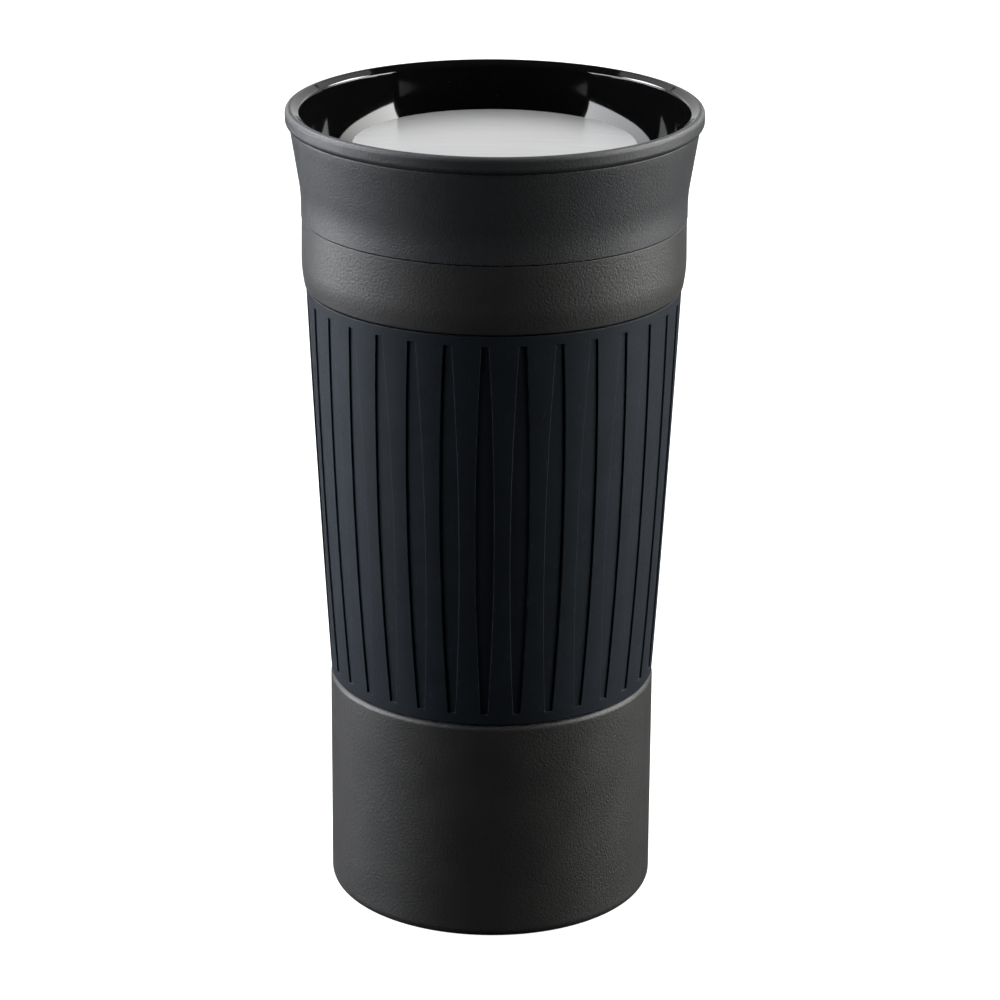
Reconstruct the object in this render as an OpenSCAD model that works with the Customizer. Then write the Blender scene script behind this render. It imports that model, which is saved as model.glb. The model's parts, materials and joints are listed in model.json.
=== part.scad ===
// Insulated travel tumbler with a screw-on drinking lid and a central press button.
// Millimetres, +Z up, origin at the centre of the foot pad's face.
// The lid's height lines are all measured from the seam between the lid and the neck.

/* [Vessel] */
// Outer radius of the straight lower body
body_r = 34.5; // [34.2:0.1:34.8]
// Height of the grip sleeve's lower edge
sleeve_low_z = 49; // [46:0.5:52]
// Height of the grip sleeve's upper edge
sleeve_top_z = 134.8; // [133.6:0.2:135.2]
// Height of the seam between the neck and the lid
seam_z = 149.3; // [149:0.1:151]
// Outer radius of the neck at its fullest
neck_r = 39.88; // [39.7:0.02:40]
// Thickness of the steel walls
steel_t = 0.6; // [0.4:0.05:0.7]
// How far the foot pad stands below the steel base
foot_proud = 0.4; // [0.2:0.1:0.8]

/* [Grip sleeve] */
// Outer radius of the sleeve at its upper edge
sleeve_top_r = 39.05; // [38.95:0.05:39.15]
// Outer radius of the sleeve at its lower edge
sleeve_low_r = 34.37; // [34.3:0.01:34.45]
// How far the sleeve's side bows out at mid height
sleeve_bow = 0.18; // [0:0.02:0.3]
// Thickness of the silicone
sleeve_t = 1.8; // [1.6:0.1:2]
// Number of spindle-shaped slots round the sleeve
slot_count = 32; // [16:1:36]
// Width of a slot at mid height
slot_mid_w = 4; // [2:0.1:4.4]
// Width of a slot at its ends
slot_end_w = 1.6; // [1:0.1:2]
// Depth of a slot at mid height
slot_depth = 0.6; // [0.5:0.1:1.1]
// Plain band left above and below the slots
slot_margin = 2.5; // [2:0.1:6]

/* [Lid] */
// Outer radius of the drinking rim
rim_r = 43; // [42.8:0.1:43.4]
// Height of the drinking rim above the seam
rim_h = 22.65; // [22:0.05:24]
// Width of the rounded rim
rim_w = 3; // [2.8:0.1:3.2]
// Height of the bead that runs round the rim
bead_h = 3.65; // [3.4:0.05:4]
// Wall thickness of the moulded lid parts
lid_wall = 1.3; // [1.1:0.1:1.4]
// Gap between the lid and the neck at the seam
seam_gap = 0.3; // [0.3:0.05:0.5]

/* [Button and valve] */
// Radius of the brushed disc on the button
disc_r = 28.8; // [28:0.1:29]
// Depth of the disc's edge below the top of the rim
disc_drop = 7.85; // [7:0.05:9]
// Height of the disc's dome
disc_dome = 1.3; // [0.4:0.1:1.6]
// Travel of the button
press_travel = 4; // [3:0.5:4]
// Radius of the opening that the valve closes
seat_r = 29; // [28:0.1:29.2]
// Radius of the valve stem
stem_r = 4; // [3.6:0.1:4.2]
// Radial running clearance of the stem in its bush
stem_clearance = 0.08; // [0.05:0.01:0.1]
// Number of spokes in the valve cage
spoke_count = 4; // [3:1:6]

/* [Screw thread] */
// Rise of the lid in one turn
thread_lead = 12; // [9:1:12]
// Number of thread starts
thread_starts = 3; // [3:1:3]
// Arc covered by each thread ridge, in degrees
thread_arc = 100; // [60:5:120]

/* [Hidden] */

round_fn = 96;                                  // segments shown round a full turn
eps = 0.01;                                     // overlap that joins two solids of one piece
touch = 0.05;                                   // gap between parts that are fitted together

// Vessel
base_corner = 2.2;                              // radius of the base's corner
base_hole_r = body_r - 2.9;                     // opening closed by the base cover
step_corner = 1.3;                              // rounded top edge of the lower body
sleeve_gap = 0.25;                              // shadow gap between the sleeve and the neck
recess_low_r = sleeve_low_r - sleeve_t;
recess_top_r = sleeve_top_r - sleeve_t;
neck_top_z = seam_z - seam_gap / 2;
neck_corner = 0.7;                              // rounded top edge of the neck
neck_foot_r = neck_r - 0.5;                     // neck radius just above the sleeve
neck_foot_h = 5;                                // height over which the neck rounds in
mouth_r = 37.4;                                 // inside of the liner round the thread ring
shoulder_z = seam_z - 11.1;                     // ledge in the liner that the gasket seals on
throat_r = 34;                                  // liner radius under that ledge
vacuum_gap = 2.1;                               // space between the liner and the recess
liner_low_r = recess_low_r - steel_t - vacuum_gap - steel_t;
liner_floor_z = 6.9;                            // inside bottom of the cup
liner_corner = 6;                               // inside corner of the cup
cover_r = base_hole_r - touch;
cover_top_z = 2.8;
pad_r = 28.5;
plug_head_r = 3.4;
plug_pin_r = 1.1;
getter_r = 4;

// Lid
collar_r = 39.9;                                // outer radius of the lid at the seam
collar_low_z = seam_z + seam_gap / 2;
rim_top_z = seam_z + rim_h;
rim_tube = rim_w / 2;
lip_round = 1;                                  // outer round of the rim's crest
lip_tilt = 28;                                  // slope of the crest's inner face
bead_round = 1.3;                               // lower round of the bead
rim_mid_r = rim_r - rim_tube;
rim_mid_z = rim_top_z - rim_tube;
bowl_floor_z = seam_z + 6.2;
bowl_floor_r = 35.4;                            // where the floor meets the wall's curve
seat_z = seam_z + 2.2;                          // lower edge of the valve seat
flange_z = seam_z + 1.8;                        // underside of the thread ring's flange
flange_t = 1.3;
plug_r = 34.9;                                  // outside of the lid's threaded skirt
plug_in_r = 33.4;
plug_low_z = seam_z - 9.7;
ring_in_r = 36.3;                               // inside of the thread ring in the neck
ring_low_z = shoulder_z + touch;
ring_top_z = neck_top_z - 0.5;

// Button and valve
disc_edge_z = rim_top_z - disc_drop;
disc_t = 0.6;
cap_r = disc_r + 0.6;
cap_side_h = 2.4;
cap_floor_t = 1.8;
cap_lip_z = disc_edge_z - 0.2;                  // top of the lip round the disc
cap_seat_z = disc_edge_z - 0.8;                 // ledge that the disc's edge stands on
cap_low_z = cap_seat_z - cap_floor_t;
tape_t = 0.3;
plate_r = seat_r + 2.2;
plate_rim_t = 2;
plate_top_z = seat_z - 0.6;
plate_hub_z = seam_z - 4.8;                     // underside of the plate's middle
plate_hub_t = 2.5;
seal_top_z = seat_z - 0.1;
cage_low_z = seam_z + 1.2;
hub_r = 6.2;
hub_top_z = seam_z + 7.6;
bush_r = 5.1;
stem_low_z = seam_z - 10.4;
washer_z = cage_low_z + 2.6;                    // ledge of the cage under the spring
spoke_w = 3;
spoke_low_z = seat_z + 0.3;                     // clears the plate and its seal
spoke_h = 2.6;
washer_t = 0.4;
spring_r = 7.6;                                 // mean radius of the coil
spring_wire = 0.8;
spring_turns = 4;
rotor_r = 7;
rotor_low_z = plate_hub_z + plate_hub_t + 0.3;
rotor_t = 1.6;
rotor_teeth = 8;

// Thread
thread_pitch = thread_lead / thread_starts;
ridge_root_h = thread_pitch * 0.4;
ridge_crest_h = thread_pitch * 0.22;
thread_steps = 20;                              // straight pieces along one ridge
lead_in_steps = 4;                              // pieces over which a ridge starts and ends
male_z = seam_z - 6.2;
female_z = male_z + thread_pitch / 2;

// Points of an arc in the half plane of a turned outline, from angle a0 to a1.
function arc(cr, cz, radius, a0, a1, n = 5) =
    [for (i = [0:n]) let (a = a0 + (a1 - a0) * i / n) [cr + radius * cos(a), cz + radius * sin(a)]];

// Radius of the sleeve's outside at a height: a straight taper with a slight bow.
function sleeve_radius(z) =
    let (t = (z - sleeve_low_z) / (sleeve_top_z - sleeve_low_z))
    sleeve_low_r + (sleeve_top_r - sleeve_low_r) * t + 4 * sleeve_bow * t * (1 - t);

// Radius of the bowl's wall at a depth below the rim's middle: a cone that curves in.
bowl_wall_r = rim_mid_r - rim_tube;
bowl_depth = rim_mid_z - bowl_floor_z;
function bowl_radius(d) = bowl_wall_r - d * tan(8.43) - 3.58 * pow(d / bowl_depth, 4.08);
bowl_bend_d = bowl_depth - 1.9;                 // depth at which the wall turns into the floor
bowl_foot_r = bowl_radius(bowl_bend_d) + lid_wall;

module lathe(outline) {
    rotate_extrude($fn = round_fn) polygon(outline);
}

module ring(outer_r, inner_r, low_z, high_z) {
    translate([0, 0, low_z]) difference() {
        cylinder(r = outer_r, h = high_z - low_z, $fn = round_fn);
        translate([0, 0, -1]) cylinder(r = inner_r, h = high_z - low_z + 2, $fn = round_fn);
    }
}

// Sweeps a cross-section, given as [radius, height] points, along a right-hand helix.
// The section shrinks towards root_r over the first and last lead_in steps.
module helix_sweep(section, root_r, lead, from_a, sweep_a, from_z, steps, lead_in = 0) {
    sides = len(section);
    points = [for (i = [0:steps]) let (a = from_a + sweep_a * i / steps,
                                       z = from_z + lead * sweep_a / 360 * i / steps,
                                       near_end = min(i, steps - i),
                                       k = lead_in > 0 ? max(0.15, min(1, near_end / lead_in)) : 1)
              for (p = section) let (r = root_r + (p[0] - root_r) * k)
              [r * cos(a), r * sin(a), z + p[1]]];
    skin = [for (i = [0:steps - 1]) for (j = [0:sides - 1])
            let (a = i * sides + j, b = i * sides + (j + 1) % sides)
            each [[a, b, b + sides], [a, b + sides, a + sides]]];
    start_cap = [[for (j = [0:sides - 1]) sides - 1 - j]];
    end_cap = [[for (j = [0:sides - 1]) steps * sides + j]];
    polyhedron(points = points, faces = concat(skin, start_cap, end_cap), convexity = 8);
}

// ---------------------------------------------------------------- vessel

function shell_outside() = concat(
    [[base_hole_r, foot_proud]],
    arc(body_r - base_corner, foot_proud + base_corner, base_corner, -90, 0),
    arc(body_r - step_corner, sleeve_low_z - step_corner, step_corner, 0, 90),
    [[recess_low_r, sleeve_low_z], [recess_top_r, sleeve_top_z], [neck_foot_r - 0.3, sleeve_top_z],
     [neck_foot_r, sleeve_top_z + 0.4]],
    [for (i = [1:4]) let (t = i / 4)
     [neck_foot_r + (neck_r - neck_foot_r) * sin(90 * t), sleeve_top_z + 0.4 + neck_foot_h * t]],
    arc(neck_r - 0.12 - neck_corner, neck_top_z - neck_corner, neck_corner, 0, 90, 4));

function shell_inside() = [
    [mouth_r + steel_t, neck_top_z],
    [mouth_r + steel_t, neck_top_z - steel_t],
    [neck_r - 1.3, neck_top_z - steel_t],
    [neck_r - 0.7, neck_top_z - 1.3],
    [neck_r - steel_t, sleeve_top_z + neck_foot_h],
    [neck_foot_r - steel_t - 0.2, sleeve_top_z + steel_t],
    [recess_top_r - steel_t, sleeve_top_z + steel_t],
    [recess_low_r - steel_t, sleeve_low_z - steel_t],
    [body_r - step_corner - 0.3, sleeve_low_z - steel_t],
    [body_r - steel_t, sleeve_low_z - step_corner - 0.3],
    [body_r - steel_t, foot_proud + base_corner],
    [body_r - base_corner, foot_proud + steel_t],
    [base_hole_r, foot_proud + steel_t]];

module outer_shell() color([0.17, 0.17, 0.18]) {
    lathe(concat(shell_outside(), shell_inside()));
}

function liner_side(offset_r, low_z) = concat(
    [[0, low_z]],
    arc(liner_low_r - liner_corner, liner_floor_z + liner_corner, liner_corner + offset_r, -90, 0),
    [[liner_low_r + offset_r, sleeve_low_z], [throat_r + offset_r, sleeve_top_z]]);

module inner_liner() color([0.72, 0.73, 0.74]) {
    lathe(concat(
        liner_side(steel_t, liner_floor_z - steel_t),
        [[throat_r + steel_t, shoulder_z - steel_t], [mouth_r + steel_t, shoulder_z - steel_t],
         [mouth_r + steel_t, neck_top_z], [mouth_r, neck_top_z], [mouth_r, shoulder_z],
         [throat_r, shoulder_z]],
        [for (i = [8:-1:0]) liner_side(0, liner_floor_z)[i]]));
}

module base_cover() color([0.6, 0.6, 0.62]) {
    lathe([[plug_pin_r, cover_top_z - steel_t], [pad_r + 0.4, cover_top_z - steel_t],
           [cover_r - 1.2, foot_proud], [cover_r, foot_proud], [cover_r, foot_proud + steel_t],
           [cover_r - 0.8, foot_proud + steel_t], [pad_r + 0.8, cover_top_z],
           [plug_pin_r, cover_top_z]]);
}

module vacuum_plug() color([0.5, 0.5, 0.52]) {
    lathe([[0, cover_top_z - steel_t - 0.8], [plug_head_r - 0.4, cover_top_z - steel_t - 0.8],
           [plug_head_r, cover_top_z - steel_t - 0.4], [plug_head_r, cover_top_z - steel_t],
           [plug_pin_r, cover_top_z - steel_t], [plug_pin_r, cover_top_z + 0.4],
           [0, cover_top_z + 0.4]]);
}

module getter() color([0.45, 0.45, 0.47]) {
    top = liner_floor_z - steel_t;
    lathe([[0, top - 1.7], [getter_r - 0.4, top - 1.7], [getter_r, top - 1.3], [getter_r, top],
           [0, top]]);
}

module neck_thread_ring() color([0.08, 0.08, 0.09]) {
    ring(mouth_r - touch, ring_in_r, ring_low_z, ring_top_z);
    for (i = [0:thread_starts - 1])
        helix_sweep([[ring_in_r - 0.8, -ridge_crest_h / 2], [ring_in_r + 0.3, -ridge_root_h / 2],
                     [ring_in_r + 0.3, ridge_root_h / 2], [ring_in_r - 0.8, ridge_crest_h / 2]],
                    ring_in_r + 0.3, thread_lead, 360 / thread_starts * i, thread_arc, female_z,
                    thread_steps, lead_in_steps);
}

module slot_cutter() {
    length = sleeve_top_z - sleeve_low_z - 2 * slot_margin;
    n = 8;
    side = [for (i = [0:n]) let (t = i / n)
            [slot_end_w / 2 + (slot_mid_w - slot_end_w) * 2 * t * (1 - t), length * (t - 0.5)]];
    taper = atan((sleeve_top_r - sleeve_low_r) / (sleeve_top_z - sleeve_low_z));
    mid_z = (sleeve_low_z + sleeve_top_z) / 2;
    translate([sleeve_radius(mid_z) - slot_depth, 0, mid_z])
        rotate([0, taper, 0]) rotate([90, 0, 90])
            linear_extrude(height = 2 * slot_depth)
                polygon(concat(side, [for (i = [n:-1:0]) [-side[i][0], side[i][1]]]));
}

module grip_sleeve() color([0.07, 0.08, 0.1]) {
    low = sleeve_low_z + touch;
    top = sleeve_top_z - sleeve_gap;
    edge = 0.3;
    n = 6;
    difference() {
        lathe(concat(
            [[recess_low_r + touch, low], [sleeve_low_r - edge, low]],
            [for (i = [0:n]) let (z = low + edge + (top - low - 2 * edge) * i / n)
             [sleeve_radius(z), z]],
            [[sleeve_top_r - edge, top], [recess_top_r + touch, top]]));
        for (i = [0:slot_count - 1])
            rotate([0, 0, 360 / slot_count * i - 92.2]) slot_cutter();
    }
}

module foot_pad() color([0.06, 0.06, 0.07]) {
    top = cover_top_z - steel_t;
    groove_r = 22;
    lathe([[0, 0.3], [groove_r - 1.5, 0.3], [groove_r - 1.2, 0], [pad_r - 0.5, 0], [pad_r, 0.5],
           [pad_r, top], [plug_head_r + 0.4, top], [plug_head_r + 0.4, top - 1], [0, top - 1]]);
}

// ---------------------------------------------------------------- lid

module lid_gasket() color([0.75, 0.75, 0.74]) {
    low = shoulder_z + 0.1;
    top = plug_low_z - 0.1;
    lathe([[plug_in_r, low + 0.3], [plug_in_r + 0.3, low], [plug_r - 0.05, low],
           [plug_r + 0.25, low + 0.3], [plug_r + 0.25, low + 0.7], [plug_r, top],
           [plug_in_r, top]]);
}

// Outline of the bowl's inner face from the rim's crest down to the floor.
function bowl_face() = concat(
    arc(rim_r - lip_round, rim_top_z - lip_round, lip_round, 98, 90 + lip_tilt, 3),
    arc(rim_r - rim_w + 0.73, rim_top_z - 1.35, 0.7, 90 + lip_tilt, 171.5, 4),
    [for (i = [0:9]) let (d = bowl_bend_d * i / 9) [bowl_radius(d), rim_mid_z - d]],
    [[bowl_radius(bowl_depth - 1) - 0.2, bowl_floor_z + 0.9],
     [bowl_radius(bowl_depth), bowl_floor_z + 0.3], [bowl_floor_r - 2, bowl_floor_z]]);

module lid_bowl() color([0.03, 0.03, 0.03]) {
    lathe(concat(
        bowl_face(),
        [[seat_r + 0.3, bowl_floor_z], [seat_r, bowl_floor_z - 0.3], [seat_r, seat_z + 0.2],
         [seat_r + 0.2, seat_z], [seat_r + lid_wall, seat_z],
         [seat_r + lid_wall, bowl_floor_z - lid_wall], [bowl_floor_r + 0.3, bowl_floor_z - lid_wall],
         [bowl_floor_r + 0.6, flange_z + flange_t + touch], [bowl_floor_r + 2.2, flange_z + flange_t + touch],
         [bowl_floor_r + 2.2, bowl_floor_z - 1.2], [bowl_foot_r, bowl_floor_z + 0.2]],
        [for (i = [7:-1:1]) let (d = bowl_bend_d * i / 9)
         [bowl_radius(d) + lid_wall, rim_mid_z - d]],
        [[rim_mid_r - 0.15, rim_mid_z]]));
}

module lid_collar() color([0.16, 0.16, 0.17]) {
    fit = lid_wall + touch;
    lathe(concat(
        [[collar_r - 1.4, collar_low_z], [collar_r - 0.25, collar_low_z],
         [collar_r, collar_low_z + 0.25], [collar_r, seam_z + 2.6]],
        // The flare: from straight to nine degrees.
        [for (i = [1:5]) let (a = 9 * i / 5) [collar_r + 30 * (1 - cos(a)), seam_z + 2.6 + 30 * sin(a)]],
        [[rim_r - 0.92, rim_top_z - bead_h - 0.3], [rim_r - 1, rim_top_z - bead_h]],
        arc(rim_r - bead_round, rim_top_z - bead_h + bead_round, bead_round, -50, 0, 4),
        arc(rim_r - lip_round, rim_top_z - lip_round, lip_round, 0, 92, 6),
        [[rim_mid_r - 0.1, rim_mid_z]],
        [for (i = [1:7]) let (d = bowl_bend_d * i / 9) [bowl_radius(d) + fit, rim_mid_z - d]],
        [[bowl_foot_r + touch, bowl_floor_z + 0.2],
         [collar_r - 1.4, flange_z + flange_t]]));
}

module lid_thread_ring() color([0.09, 0.09, 0.1]) {
    ring(plug_r, plug_in_r, plug_low_z, flange_z + eps);
    ring(collar_r - 1.45, plug_in_r, flange_z, flange_z + flange_t);
    for (i = [0:thread_starts - 1])
        helix_sweep([[plug_r - 0.3, -ridge_root_h / 2], [plug_r + 1, -ridge_crest_h / 2],
                     [plug_r + 1, ridge_crest_h / 2], [plug_r - 0.3, ridge_root_h / 2]],
                    plug_r - 0.3, thread_lead, 360 / thread_starts * i + 10, thread_arc, male_z
                    + thread_lead * 10 / 360, thread_steps, lead_in_steps);
}

module valve_cage() color([0.1, 0.1, 0.11]) {
    ring_r = seat_r - touch;
    difference() {
        union() {
            ring(ring_r, ring_r - 1.6, seat_z + 0.3, bowl_floor_z - 0.6);
            for (i = [0:spoke_count - 1])
                rotate([0, 0, 360 / spoke_count * (i + 0.5)])
                    translate([spring_r + 1.2, -spoke_w / 2, spoke_low_z])
                        cube([ring_r - spring_r - 2, spoke_w, spoke_h]);
            translate([0, 0, cage_low_z])
                cylinder(r = spring_r + 1.4, h = washer_z - cage_low_z, $fn = round_fn);
            translate([0, 0, cage_low_z]) cylinder(r = hub_r, h = hub_top_z - cage_low_z, $fn = round_fn);
        }
        translate([0, 0, cage_low_z - 1])
            cylinder(r = bush_r, h = hub_top_z - cage_low_z + 2, $fn = round_fn);
    }
}

module stem_bush() color([0.85, 0.84, 0.8]) {
    ring(bush_r - touch / 2, stem_r + stem_clearance, cage_low_z, hub_top_z);
    ring(hub_r, stem_r + stem_clearance, cage_low_z - 0.6, cage_low_z);
}

module spring_washer() color([0.7, 0.7, 0.71]) {
    ring(spring_r + 1.1, hub_r + 0.1, washer_z, washer_z + washer_t);
}

module return_spring() color([0.75, 0.75, 0.76]) {
    low = washer_z + washer_t + spring_wire / 2 + 0.05;
    high = cap_low_z - spring_wire / 2 - 0.05;
    section = [for (a = [0:45:315]) [spring_r + spring_wire / 2 * cos(a), spring_wire / 2 * sin(a)]];
    helix_sweep(section, spring_r, (high - low) / spring_turns, 0, 360 * spring_turns, low,
                spring_turns * 16);
}

// ---------------------------------------------------------------- button and valve

// Heights of the disc's domed face: a shallow cap of a sphere.
dome_r = (disc_r * disc_r + disc_dome * disc_dome) / (2 * disc_dome);
function dome_z(r) = disc_edge_z + sqrt(dome_r * dome_r - r * r) - (dome_r - disc_dome);

// Points along the dome, lowered by a thickness, from radius from_r to radius to_r.
function dome_line(lowered, from_r, to_r, n = 6) =
    [for (i = [0:n]) let (r = from_r + (to_r - from_r) * i / n) [r, dome_z(r) - lowered]];

module button_disc() color([0.72, 0.72, 0.73]) {
    lathe(concat(
        dome_line(disc_t, 0, disc_r - disc_t),
        [[disc_r - disc_t, cap_seat_z + 0.05], [disc_r, cap_seat_z + 0.05]],
        dome_line(0, disc_r - 0.12, 0)));
}

module disc_adhesive() color([0.85, 0.83, 0.75]) {
    lathe(concat(
        dome_line(disc_t + tape_t, 0, disc_r - 1),
        dome_line(disc_t + touch / 2, disc_r - 1, 0)));
}

module button_cap() color([0.03, 0.03, 0.03]) {
    side_low_z = cap_lip_z - cap_side_h;
    lathe(concat(
        [[0, cap_low_z], [cap_r - 1.4, cap_low_z], [cap_r - 1.2, side_low_z],
         [cap_r - 0.4, side_low_z], [cap_r, side_low_z + 0.4], [cap_r, cap_lip_z - 0.3],
         [cap_r - 0.3, cap_lip_z], [disc_r + 0.1, cap_lip_z], [disc_r + 0.1, cap_seat_z]],
        dome_line(disc_t + tape_t + touch / 2, disc_r - 0.8, 0)));
}

module valve_stem() color([0.78, 0.78, 0.79]) {
    lathe([[0, stem_low_z], [stem_r - 1.2, stem_low_z], [stem_r - 0.8, stem_low_z + 0.4],
           [stem_r - 0.8, plate_hub_z + plate_hub_t + eps], [stem_r, plate_hub_z + plate_hub_t + eps],
           [stem_r, cap_low_z], [0, cap_low_z]]);
}

module valve_plate() color([0.1, 0.1, 0.11]) {
    hub = 9;
    lathe([[stem_r - 0.8, plate_hub_z], [hub, plate_hub_z], [plate_r - 3, plate_top_z - plate_rim_t],
           [plate_r - 0.4, plate_top_z - plate_rim_t], [plate_r, plate_top_z - plate_rim_t + 0.4],
           [plate_r, plate_top_z], [plate_r - 4.4, plate_top_z], [plate_r - 4.8, plate_top_z - 0.9],
           [hub + 1, plate_hub_z + 1.6], [hub, plate_hub_z + plate_hub_t],
           [stem_r - 0.8, plate_hub_z + plate_hub_t]]);
}

module valve_seal() color([0.8, 0.8, 0.79]) {
    lathe([[plate_r - 4.2, plate_top_z], [plate_r - 0.3, plate_top_z],
           [plate_r - 0.3, seal_top_z - 0.15], [plate_r - 0.45, seal_top_z],
           [plate_r - 2.4, seal_top_z], [plate_r - 2.7, plate_top_z + 0.25],
           [plate_r - 4.2, plate_top_z + 0.2]]);
}

module plate_nut() color([0.12, 0.12, 0.13]) {
    nut_r = 7.5;
    nut_h = 3.4;
    ribs = 12;
    top = plate_hub_z - 0.8;
    difference() {
        union() {
            lathe([[stem_r - 0.8, top - nut_h], [nut_r - 0.4, top - nut_h], [nut_r, top - nut_h + 0.4],
                   [nut_r, top - 0.3], [nut_r - 0.3, top], [stem_r - 0.8, top]]);
            ring(stem_r + 1.2, stem_r - 0.8, top - eps, plate_hub_z);
        }
        for (i = [0:ribs - 1])
            rotate([0, 0, 360 / ribs * i])
                translate([nut_r + 0.5, 0, top - nut_h - 1]) cylinder(r = 1, h = nut_h + 2, $fn = 24);
    }
}

module nut_o_ring() color([0.15, 0.15, 0.15]) {
    tube = 0.38;
    translate([0, 0, plate_hub_z - 0.4])
        rotate_extrude($fn = round_fn) translate([stem_r + 1.65, 0]) circle(r = tube, $fn = 24);
}

module retaining_clip() color([0.62, 0.62, 0.64]) {
    top = plate_hub_z - 4.25;
    slot_w = 3.2;
    difference() {
        ring(stem_r + 0.8, stem_r - 0.8, top - 0.5, top);
        translate([0, -slot_w / 2, top - 1]) cube([stem_r + 2, slot_w, 2]);
    }
}

module latch_rotor() color([0.85, 0.85, 0.82]) {
    top = rotor_low_z + rotor_t;
    difference() {
        ring(rotor_r, stem_r + stem_clearance, rotor_low_z, top);
        for (i = [0:rotor_teeth - 1])
            rotate([0, 0, 360 / rotor_teeth * i])
                translate([rotor_r - 0.9, -0.9, top - 0.9]) cube([2, 1.8, 2]);
    }
}

outer_shell();
inner_liner();
base_cover();
vacuum_plug();
getter();
neck_thread_ring();
grip_sleeve();
foot_pad();
lid_gasket();
lid_collar();
lid_bowl();
lid_thread_ring();
valve_cage();
stem_bush();
spring_washer();
return_spring();
button_disc();
disc_adhesive();
button_cap();
valve_stem();
valve_plate();
valve_seal();
plate_nut();
nut_o_ring();
retaining_clip();
latch_rotor();
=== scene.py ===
import json
import math

import bmesh
import bpy
from mathutils import Matrix, Vector


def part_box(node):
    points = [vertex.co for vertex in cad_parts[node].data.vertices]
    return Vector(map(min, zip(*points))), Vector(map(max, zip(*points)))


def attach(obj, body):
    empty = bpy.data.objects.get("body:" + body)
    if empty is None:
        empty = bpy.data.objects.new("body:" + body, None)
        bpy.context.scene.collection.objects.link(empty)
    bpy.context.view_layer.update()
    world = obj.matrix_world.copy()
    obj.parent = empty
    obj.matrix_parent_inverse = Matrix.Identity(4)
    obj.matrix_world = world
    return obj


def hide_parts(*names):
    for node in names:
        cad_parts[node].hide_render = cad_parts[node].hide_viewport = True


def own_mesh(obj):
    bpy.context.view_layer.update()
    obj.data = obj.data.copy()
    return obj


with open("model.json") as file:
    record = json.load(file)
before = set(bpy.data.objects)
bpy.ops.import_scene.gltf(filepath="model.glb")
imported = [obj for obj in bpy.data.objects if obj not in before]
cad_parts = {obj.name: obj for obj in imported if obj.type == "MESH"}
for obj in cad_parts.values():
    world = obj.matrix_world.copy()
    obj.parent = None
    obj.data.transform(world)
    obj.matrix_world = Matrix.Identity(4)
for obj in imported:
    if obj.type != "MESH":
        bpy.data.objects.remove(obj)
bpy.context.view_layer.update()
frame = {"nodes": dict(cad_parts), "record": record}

MM = 0.001                  # all shapes below are in millimetres, and become metres when they are meshed
AROUND = 192                # segments round a turned piece


# ---------------------------------------------------------------- sizes, from the frame

def box_mm(node):
    """Low and high corners of a CAD node, in millimetres."""
    low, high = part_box(node)
    return low / MM, high / MM


def mount_mm(name, dimension):
    """A stated dimension of one of the record's mounts."""
    found = [mount for mount in frame["record"]["mounts"] if mount["name"] == name]
    return found[0]["dims"][dimension]


shell_low, shell_high = box_mm("outer_shell")
liner_low = box_mm("inner_liner")[0]
cover_high = box_mm("base_cover")[1]
pad_high = box_mm("foot_pad")[1]
sleeve_low, sleeve_high = box_mm("grip_sleeve")
collar_low, collar_high = box_mm("lid_collar")
bowl_low = box_mm("lid_bowl")[0]
plug_low, plug_high = box_mm("lid_thread_ring")
mouth_ring_low, mouth_ring_high = box_mm("neck_thread_ring")
gasket_low, gasket_high = box_mm("lid_gasket")
disc_low, disc_high = box_mm("button_disc")
cap_low, cap_high = box_mm("button_cap")
stem_low, stem_high = box_mm("valve_stem")
plate_low, plate_high = box_mm("valve_plate")
seal_low, seal_high = box_mm("valve_seal")
nut_low, nut_high = box_mm("plate_nut")
spring_low, spring_high = box_mm("return_spring")

# Vessel
BODY_R = mount_mm("cup_holder_body", "r_mm")
FOOT_Z = shell_low.z
NECK_TOP_Z = shell_high.z
NECK_R = shell_high.x
STEEL = 0.6                 # wall of the steel shells
FIT = 0.05                  # gap between pieces that are pressed together
SLEEVE_GAP = 0.25           # shadow gap between the sleeve and the neck
SLEEVE_T = 1.8
STEP_Z = sleeve_low.z - FIT
SHELF_Z = sleeve_high.z + SLEEVE_GAP
SLEEVE_TOP_R = sleeve_high.x
SLEEVE_LOW_R = BODY_R - 0.13
SLEEVE_BOW = 0.18
RECESS_LOW_R = SLEEVE_LOW_R - SLEEVE_T
RECESS_TOP_R = SLEEVE_TOP_R - SLEEVE_T
NECK_FOOT_R = NECK_R - 0.5
NECK_FOOT_H = 5
FOOT_ROUND = 2.2            # round at the foot of the shell
STEP_ROUND = 1.3            # round of the body's edge under the sleeve
MOUTH_R = mouth_ring_high.x + FIT
THROAT_R = MOUTH_R - 3.4
LINER_FLOOR_Z = liner_low.z + STEEL
LINER_LOW_R = RECESS_LOW_R - 3.3
LINER_CORNER = 6
PLUG_PIN_R = 1.1            # radius of the hole that the vacuum plug closes
GASKET_LEDGE_Z = mouth_ring_low.z - FIT

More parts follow.
